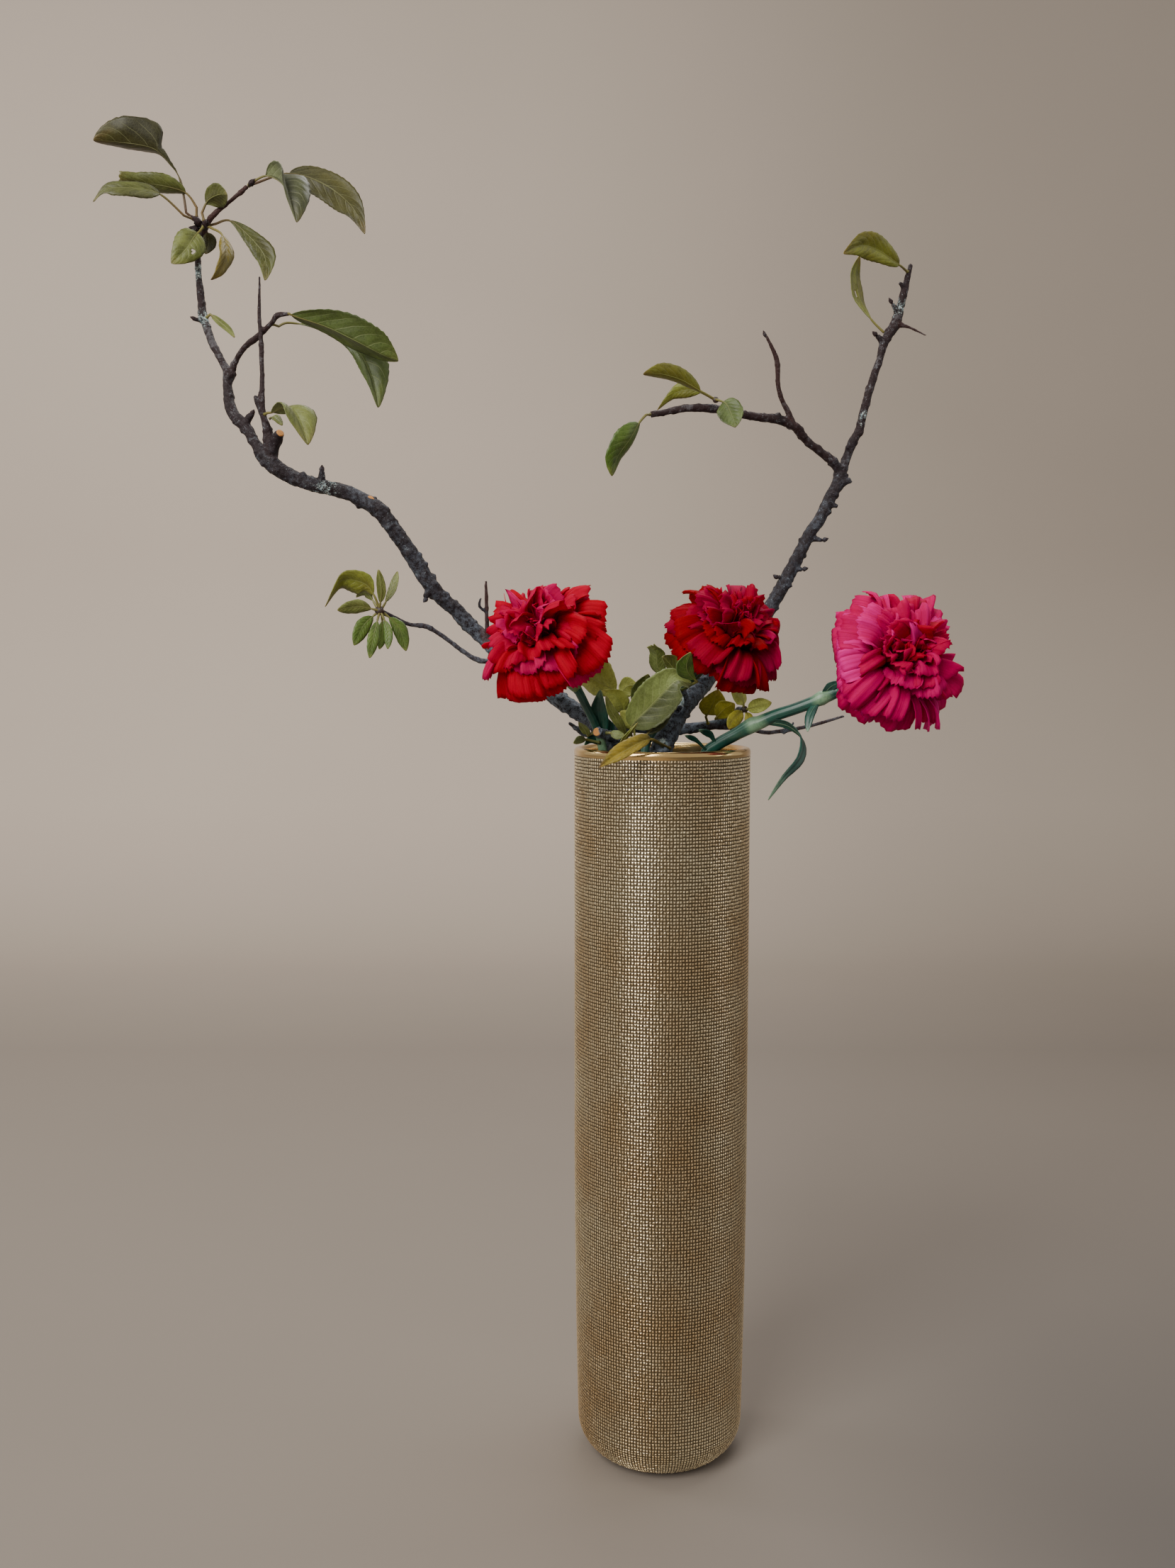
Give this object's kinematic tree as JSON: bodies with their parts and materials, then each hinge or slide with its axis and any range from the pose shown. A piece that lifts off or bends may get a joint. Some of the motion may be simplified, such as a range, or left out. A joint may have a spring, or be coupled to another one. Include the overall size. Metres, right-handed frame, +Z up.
{
  "type": "ikebana flower arrangement",
  "caption": "Tall cylinder vase with a beaded gold surface, holding leafy fruit-tree boughs and carnations that stand in water.",
  "frame": {"origin": "middle of the vase's flat foot, on the surface it stands on", "axes": "+Z up along the vase; the arrangement's front faces -Y and its tall bough leans towards -X"},
  "size_m": [0.4775, 0.1374, 0.7713],
  "materials": {
    "gold": "metallic gold lustre over fine beads",
    "water": "clear water",
    "bark": "rough dark bark with pale lichen",
    "leaf_green": "satin leaf",
    "leaf_dark": "satin dark leaf",
    "leaf_pale": "matte pale leaf",
    "leaf_yellow": "satin yellowing leaf",
    "stem": "waxy blue-green stem",
    "petal_red": "soft matte petal",
    "petal_crimson": "soft matte petal",
    "petal_magenta": "soft matte petal"
  },
  "bodies": {
    "root": {"vase": "gold", "water": "water", "left_bough": "bark", "right_bough": "bark", "leaf_crown_bitten": "leaf_dark", "leaf_crown_torn": "leaf_green", "leaf_crown_low": "leaf_green", "leaf_crown_cup": "leaf_green", "leaf_crown_arched": "leaf_green", "leaf_crown_far": "leaf_dark", "leaf_crown_front": "leaf_green", "leaf_crown_back": "leaf_green", "leaf_crown_yellow": "leaf_yellow", "leaf_crown_notched": "leaf_green", "leaf_slender": "leaf_green", "leaf_fork_upper": "leaf_green", "leaf_fork_lower": "leaf_dark", "leaf_upright_folded": "leaf_green", "leaf_upright_small": "leaf_green", "leaf_right_drooping": "leaf_green", "leaf_right_tip": "leaf_green", "leaf_right_upright": "leaf_green", "leaf_mouth_behind": "leaf_pale", "leaf_mouth_olive": "leaf_yellow", "leaf_mouth_low": "leaf_yellow", "leaf_mouth_slender": "leaf_green", "leaf_mouth_inner": "leaf_green", "leaf_mouth_large": "leaf_pale", "leaf_mouth_tall": "leaf_pale", "leaf_mouth_dark": "leaf_dark", "leaf_mouth_bright": "leaf_green", "leaf_mouth_pale": "leaf_pale", "leaf_mouth_hidden": "leaf_yellow", "leaf_mouth_right": "leaf_yellow", "leaf_rim_yellow": "leaf_yellow", "leaf_rim_upright": "leaf_yellow", "leaf_rim_sliver": "leaf_pale", "leaf_rim_pale": "leaf_pale", "leaf_bough_dark": "leaf_dark", "leaf_pale_left": "leaf_pale", "spray_left": "leaf_green", "spray_arm": "leaf_green", "spray_mouth": "leaf_yellow", "carnation_stem_red": "stem", "carnation_stem_crimson": "stem", "carnation_stem_magenta": "stem", "carnation_bloom_red": "petal_red", "carnation_bloom_crimson": "petal_crimson", "carnation_bloom_magenta": "petal_magenta"}
  },
  "joints": []
}
